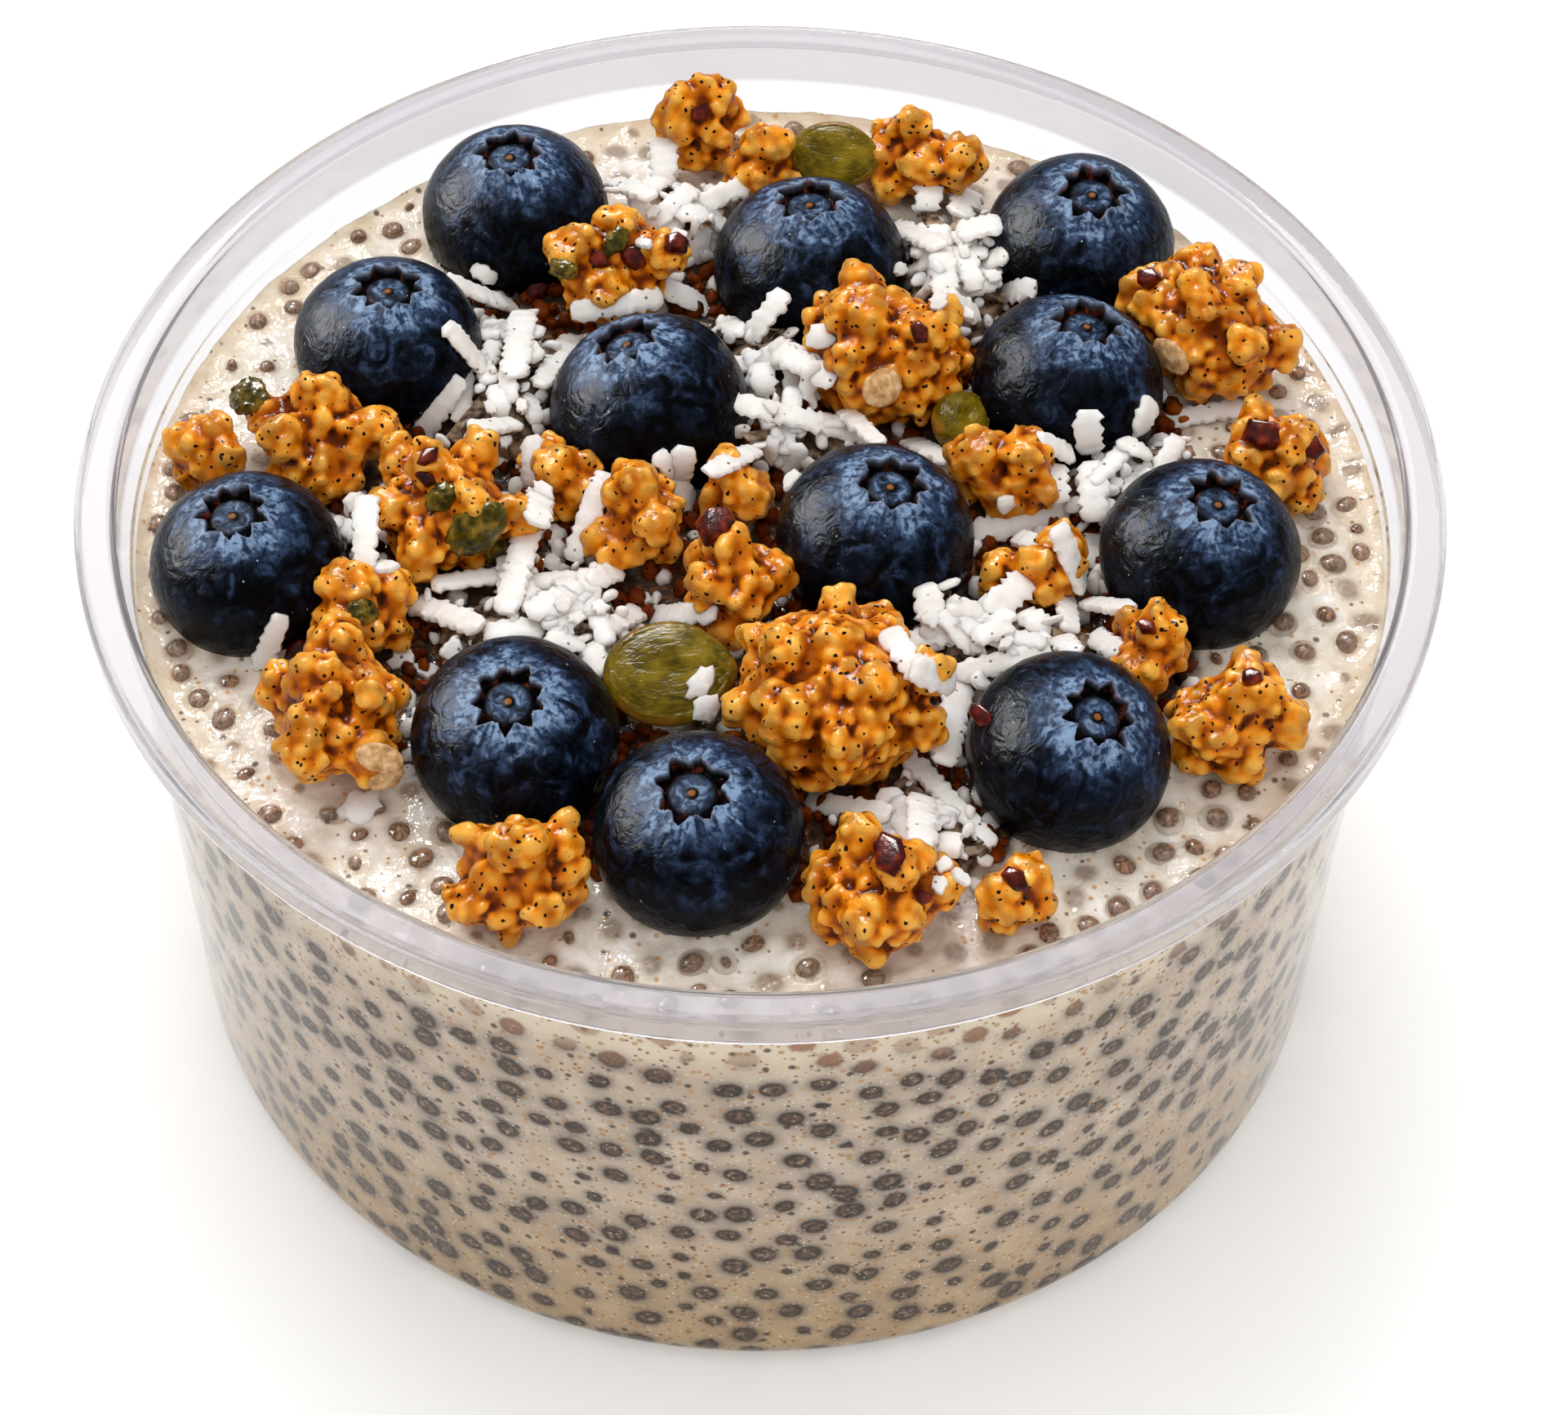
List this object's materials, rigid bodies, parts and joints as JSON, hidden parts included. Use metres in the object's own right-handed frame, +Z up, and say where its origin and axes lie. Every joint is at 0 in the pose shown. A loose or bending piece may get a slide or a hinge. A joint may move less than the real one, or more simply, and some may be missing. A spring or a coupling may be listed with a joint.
{
  "type": "chia pudding in a tub",
  "caption": "Chia pudding filling a clear round tub with a flat rim, topped with blueberries, granola clusters, coconut shreds and pumpkin seeds.",
  "frame": {"origin": "middle of the tub's flat base, where it stands", "axes": "+Z up out of the tub's mouth, -Y towards the eater, +X to the eater's right"},
  "size_m": [0.117, 0.117, 0.0649],
  "materials": {
    "clear_plastic": "clear thin plastic, glossy",
    "chia_pudding": "cream pudding with grey-brown seeds, moist and glossy on top",
    "blueberry_skin": "dark blue skin with a pale bloom",
    "granola": "golden brown baked clusters, a little glossy",
    "coconut": "white dried shreds",
    "pumpkin_seed": "olive green, a little glossy"
  },
  "bodies": {
    "root": {"tub": "clear_plastic", "pudding": "chia_pudding", "blueberry_01": "blueberry_skin", "blueberry_02": "blueberry_skin", "blueberry_03": "blueberry_skin", "blueberry_04": "blueberry_skin", "blueberry_05": "blueberry_skin", "blueberry_06": "blueberry_skin", "blueberry_07": "blueberry_skin", "blueberry_08": "blueberry_skin", "blueberry_09": "blueberry_skin", "blueberry_10": "blueberry_skin", "blueberry_11": "blueberry_skin", "blueberry_12": "blueberry_skin", "granola_01": "granola", "granola_02": "granola", "granola_03": "granola", "granola_04": "granola", "granola_05": "granola", "granola_06": "granola", "granola_07": "granola", "granola_08": "granola", "granola_09": "granola", "granola_10": "granola", "granola_11": "granola", "granola_12": "granola", "granola_13": "granola", "granola_14": "granola", "granola_15": "granola", "granola_16": "granola", "granola_17": "granola", "granola_18": "granola", "granola_19": "granola", "granola_20": "granola", "granola_21": "granola", "granola_22": "granola", "granola_23": "granola", "granola_24": "granola", "coconut_01": "coconut", "coconut_02": "coconut", "coconut_03": "coconut", "coconut_04": "coconut", "coconut_05": "coconut", "coconut_06": "coconut", "coconut_07": "coconut", "coconut_08": "coconut", "coconut_09": "coconut", "coconut_10": "coconut", "pumpkin_seed_1": "pumpkin_seed", "pumpkin_seed_2": "pumpkin_seed", "pumpkin_seed_3": "pumpkin_seed"}
  },
  "joints": []
}
